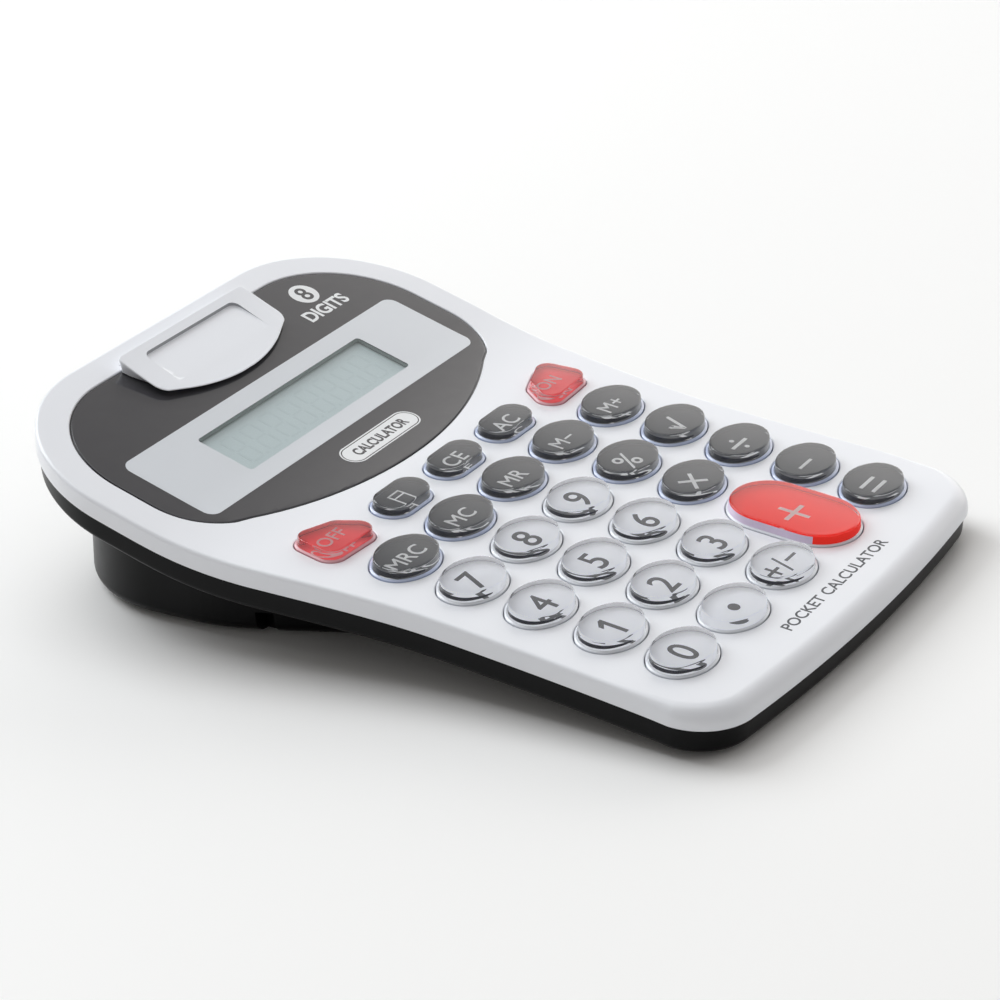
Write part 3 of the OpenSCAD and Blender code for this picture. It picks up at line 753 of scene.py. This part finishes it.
def make_lower_case():
    outline = case_outline()
    rim = slab(outline, rounded_bottom(1.1, -CASE_H, 0.62)
               + [(0.5, -UPPER_H - 0.16), (0.6, -UPPER_H - 0.02)])
    rim = cut(rim, slab(outline, [(2.1, -6.0), (2.1, 0)]))
    lip = slab(outline, [(WALL + 0.25, -UPPER_H - 1), (WALL + 0.25, -UPPER_H + 0.9)])
    lip = cut(lip, slab(outline, [(WALL + 0.95, -UPPER_H - 2), (WALL + 0.95, 0)]),
              box((-20.3, 70, -20), (20.3, 100, 20)))
    body = boolean(on_face(rim), "UNION", foot_body())
    cavity = foot_cavity()
    walls = [desk_box((x, 52.3, 1.5), (x + 1.2, 72, 15)) for x in (-30, 27.1)]
    walls += [desk_box((-28.9, 52.3, 1.5), (27.2, 53.4, 15)), desk_box((-28.9, 70.9, 3.8), (27.2, 72, 15))]
    walls += [desk_box((s * 31.5 - 3, 29, 1.5), (s * 31.5 + 3, 37.5, 5.6)) for s in (-1, 1)]
    body = boolean(cut(body, cavity), "UNION", *walls)
    notches = [desk_box((s * 38 - 3.4, 32, -2), (s * 38 + 3.4, 34.8, 4.6)) for s in (-1, 1)]
    bores = [at(disc(0, 0, COUNTERBORE_R, -9, -5.8), x, y, top_z(y)) for x, y in SCREWS]
    recesses = [moved(disc(x, y, FOOT_RECESS_R, -1, h + 0.05), DESK_IN_CASE) for x, y, h in FEET]
    body = cut(body, door_block(0.15), *notches, joined(bores), joined(recesses))
    body = joined([body, on_face(lip)])
    piece("lower_shell", body, "case", "case_black", BLACK, replaces=("lower_case",), sharp=28)


def make_battery_cover():
    door = boolean(foot_body(), "INTERSECT", door_block(0.0))
    grooves = [moved(rod_x(66 + 1.6 * i, FOOT_GAP, 0.45, 9, 20), DESK_IN_CASE) for i in range(5)]
    door = cut(door, foot_cavity(), *grooves)
    floor = FOOT_GAP + WALL
    tongues = [desk_box((s * 13 - 3.2, 50.2, floor + 0.2), (s * 13 + 3.2, 57, floor + 1.2))
               for s in (-1, 1)]
    piece("battery_door", joined([door] + tongues), "cover", "case_black", BLACK,
          replaces=("battery_cover",), sharp=28)


def make_feet():
    discs = []
    for x, y, h in FEET:
        ring = arc(x, y, 4.0, 0, 352, 44)
        levels = rounded_bottom(0.5, 0.0, 0.0, 4) + [(0.0, h)]
        pad = cut(slab(ring, levels), disc(x, y, 1.6, -1, 0.25))
        discs.append(moved(pad, DESK_IN_CASE))
    piece("feet", joined(discs), "case", "foot_rubber", RUBBER, replaces=("rubber_feet",))


# ---------------------------------------------------------------- display

def window_opening():
    return slab(rounded_box(WINDOW_W / 2, WINDOW_Y - WINDOW_L / 2, WINDOW_Y + WINDOW_L / 2, 0.7),
                [(0, -2), (0, 2)])


def make_lens():
    """The dark lens with a lip round its edge, its silver panel and the walls of the window."""
    body = slab(lens_outline(), [(-0.3, -LENS_T + 0.02), (-0.3, -0.36), (0.0, -0.34), (0.0, -0.16),
                                 (0.04, -0.08), (0.14, -0.03)])
    gap = box((-TROUGH_W / 2, PIN_Y - TROUGH_R, -5), (TROUGH_W / 2, 100, 5))
    lens = cut(body, window_opening(), gap)
    lens.normal_update()
    for f in lens.faces:
        x, y, _ = f.calc_center_median()
        in_window = abs(x) < WINDOW_W / 2 + 0.05 and abs(y - WINDOW_Y) < WINDOW_L / 2 + 0.05
        if abs(f.normal.z) < 0.5 and in_window:
            f.material_index = 1
    piece("lens", on_face(lens), "case", "lens", LENS, CELL_GLASS, replaces=("display_lens",))
    panel = slab(rounded_box(PANEL_W / 2, PANEL_FRONT, PANEL_REAR, 2.0), [(0, -0.2), (0, -0.015)])
    piece("display_panel", on_face(cut(panel, window_opening())), "case", "lens", SILVER)
    glass = slab(rounded_box(WINDOW_W / 2, WINDOW_Y - WINDOW_L / 2, WINDOW_Y + WINDOW_L / 2, 0.7),
                 [(0.02, -0.06), (0.02, -0.02)])
    piece("window", on_face(glass), "case", "lens", PANE)


def make_prints():
    """Generic markings: a digit count, a label over the keys and a line along the front edge."""
    ring = cut(slab(stadium(19.4, 4.9), [(0, 0), (0, 0.02)]), slab(stadium(18.9, 4.4), [(0, -1), (0, 1)]))
    white = [at(disc(0, 0, 2.65, 0, 0.02), 26.2, 71.1), at(lettering("DIGITS", 2.7, 0.3, 11.0), 25.7, 66.2)]
    white += [at(ring, 0.3, 37.5), at(slab(stadium(18.5, 4.0), [(0, 0), (0, 0.02)]), 0.3, 37.5)]
    piece("lens_prints", on_face(at(joined(white), 0, 0, -0.028)), "case", "lens", WHITE_INK)
    dark = [at(lettering("8", 3.6, 0.15), 26.2, 71.1, -0.005),
            at(lettering("CALCULATOR", 2.0, 0.3, 14.0), 0.3, 37.5, -0.005)]
    piece("lens_marks", on_face(joined(dark)), "case", "lens", LENS)
    front = bold("POCKET CALCULATOR", 2.0, 0.03, width=31.4)
    piece("front_marks", on_face(at(front, 0.5, -44.8, -0.012)), "case", "case_white", GREY_INK)


def make_cell():
    """The liquid crystal cell: two glass plates and a polariser with faint unlit digits."""
    def plate(x, front, rear, low, high):
        return box((x[0], WINDOW_Y + front, low), (x[1], WINDOW_Y + rear, high))
    glass = joined([plate((-26, 26), -9, 9, -4.6, -3.78), plate((-26, 26), -8, 9, -3.74, -2.95)])
    sheet = slab(rounded_box(WINDOW_W / 2 + 0.35, WINDOW_Y - 5.7, WINDOW_Y + 5.7, 0.5),
                 [(0, -2.93), (0, -0.95)])
    bars = []
    for i in range(8):
        x = -17.5 + 5 * i
        for level in (-3.4, 0, 3.4):
            bars.append((x, level, 2.3, 0.42))
        for side in (-1.45, 1.45):
            for half in (-1.7, 1.7):
                bars.append((x + side, half, 0.42, 2.7))
        bars.append((x + 2.35, -3.4, 0.5, 0.5))
    digits = at(strokes(bars, 0.01), 0, WINDOW_Y, -0.95)
    cell = joined([paint(glass, 0), paint(sheet, 1), paint(digits, 2)])
    piece("liquid_crystal_cell", on_face(cell), "case", "liquid_crystal", CELL_GLASS, CRYSTAL, SEGMENT,
          replaces=("lcd_glass",))


# ---------------------------------------------------------------- clip

def deck_z(y):
    """Height of the clip's deck over the display face: a wedge that steepens to the rear."""
    run = y - CLIP_FRONT
    return 0.7 + 0.065 * run + 0.0048 * run * run


def make_clip():
    """A wedge with a thumb scoop that deepens to a wall at its rear, and a barrel on the pin."""
    def underside(p):
        return 1.4 - 1.0 * ease((p[1] - 71) / 5)
    levels = [(underside, CLIP_GAP), (0.12, CLIP_THICK - 0.4), (0.0, CLIP_THICK - 0.32)]
    body = slab(clip_outline(), levels + rounded_top(0.2, CLIP_THICK, 0.0, 4))
    scoop = slab(rounded_box(SCOOP_HALF_W, SCOOP_FRONT, SCOOP_REAR, SCOOP_R),
                 [(0.1, 0.0), (0.0, 0.08), (0.0, 2.0)])
    scoop = warp(scoop, steps(68.5, 75.5, 0.5), lambda co: CLIP_THICK - (
        SCOOP_DROP * max(0.0, (co.y - 67.8) / 7.8) ** 1.2 if co.z < 1 else 0))
    body = cut(body, scoop)
    body.normal_update()
    # The scoop's steep walls take the second material, the grey painted shade.
    for f in body.faces:
        x, y, _ = f.calc_center_median()
        if abs(f.normal.z) < 0.4 and abs(x) < SCOOP_HALF_W + 0.1 and 69 < y < SCOOP_REAR + 0.1:
            f.material_index = 1
    body = warp(body, steps(64, 77, 1.0), lambda co: (
        (deck_z(co.y) - CLIP_THICK) * (co.z - CLIP_GAP) / (CLIP_THICK - CLIP_GAP)))
    pin_z = top_z(PIN_Y) - PIN_DROP
    plate = boolean(on_face(body), "UNION", rod_x(PIN_Y, pin_z, BARREL_R, BARREL_W / 2))
    # The clip wears the brightened white, which is painted light.
    piece("clip", cut(plate, rod_x(PIN_Y, pin_z, PIN_HOLE_R, 30)), "clip", "clip_white", CLIP_WHITE_BRIGHTENED,
          SCOOP_WALL_SHADE, replaces=("clip_plate",), sharp=30)


# ---------------------------------------------------------------- floor, light and camera

FLOOR_COLOUR = (0.93, 0.925, 0.915)


def make_stage():
    floor = loose_object(box((-4, -4, -0.01), (4, 6, 0)), "floor")
    material, node = shader("floor", FLOOR_COLOUR, 0.6)
    tone(material, node, FLOOR_COLOUR, 0.01, 3)
    floor.data.materials.append(material)


def area_light(name, power, size, position, colour):
    """A flat light that faces the origin."""
    light = bpy.data.lights.new(name, "AREA")
    light.energy, light.shape, light.size, light.size_y, light.color = power, "RECTANGLE", *size, colour
    ob = bpy.data.objects.new(name, light)
    bpy.context.scene.collection.objects.link(ob)
    ob.location = position
    ob.rotation_euler = (-Vector(position)).to_track_quat("-Z", "Y").to_euler()


def make_light():
    """Two large soft lights in a studio that is bright on the object's right and dim elsewhere."""
    bpy.context.scene.view_settings.view_transform = "Standard"
    world = bpy.data.worlds.new("studio")
    bpy.context.scene.world = world
    world.use_nodes = True
    tree = world.node_tree
    background = tree.nodes["Background"]
    background.inputs["Color"].default_value = (1.0, 0.975, 0.95, 1)
    coords = tree.nodes.new("ShaderNodeTexCoord")
    facing = tree.nodes.new("ShaderNodeVectorMath")
    facing.operation = "DOT_PRODUCT"
    facing.inputs[1].default_value = (0.996, 0.087, 0.0)
    spread = tree.nodes.new("ShaderNodeMapRange")
    spread.interpolation_type = "SMOOTHSTEP"
    spread.inputs["From Min"].default_value, spread.inputs["From Max"].default_value = 0.66, 0.88
    spread.inputs["To Min"].default_value, spread.inputs["To Max"].default_value = 0.31, 1.95
    tree.links.new(coords.outputs["Generated"], facing.inputs[0])
    tree.links.new(facing.outputs["Value"], spread.inputs["Value"])
    tree.links.new(spread.outputs["Result"], background.inputs["Strength"])
    area_light("rear", 15.0, (1.0, 1.0), (0.15, 1.2, 0.95), (0.94, 0.975, 1.0))
    area_light("overhead", 6.4, (1.2, 1.2), (0.1, 0.3, 1.35), (0.96, 0.98, 1.0))


CAMERA_PLACE = (-0.3804, -0.26627, 0.23297)
CAMERA_HEADING, CAMERA_DIP, CAMERA_ROLL = 55.03, 25.53, -5.12
LENS_MM, SENSOR_MM = 117.0, 36.0


def make_camera():
    data = bpy.data.cameras.new("camera")
    data.lens, data.sensor_width, data.clip_start = LENS_MM, SENSOR_MM, 0.01
    ob = bpy.data.objects.new("camera", data)
    bpy.context.scene.collection.objects.link(ob)
    turn = (Matrix.Rotation(math.radians(-CAMERA_HEADING), 4, "Z")
            @ Matrix.Rotation(math.radians(90 - CAMERA_DIP), 4, "X")
            @ Matrix.Rotation(math.radians(CAMERA_ROLL), 4, "Z"))
    ob.matrix_world = Matrix.Translation(CAMERA_PLACE) @ turn
    bpy.context.scene.camera = ob


# ---------------------------------------------------------------- build

CAD_FINISHES = {
    "lcd_frame": HOLDER, "display_ribbon": RIBBON, "circuit_board": BOARD, "chip": EPOXY,
    "capacitor": SLEEVE, "keypad_mat": SILICONE, "keypad_domes": SILICONE, "battery": JACKET,
    "battery_spring": SPRING, "battery_contact": SPRING, "battery_leads": WIRE, "clip_pin": STEEL,
    "clip_spring": SPRING, "case_screws": STEEL, "board_screws": STEEL,
}
for node_name, finish in CAD_FINISHES.items():
    node_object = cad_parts[node_name]
    node_object.data.materials.clear()
    node_object.data.materials.append(finish)

make_camera()
make_stage()
make_light()
make_upper_case()
make_lower_case()
make_battery_cover()
make_feet()
make_lens()
make_prints()
make_cell()
make_clip()
for key in KEYS:
    make_key(*key)
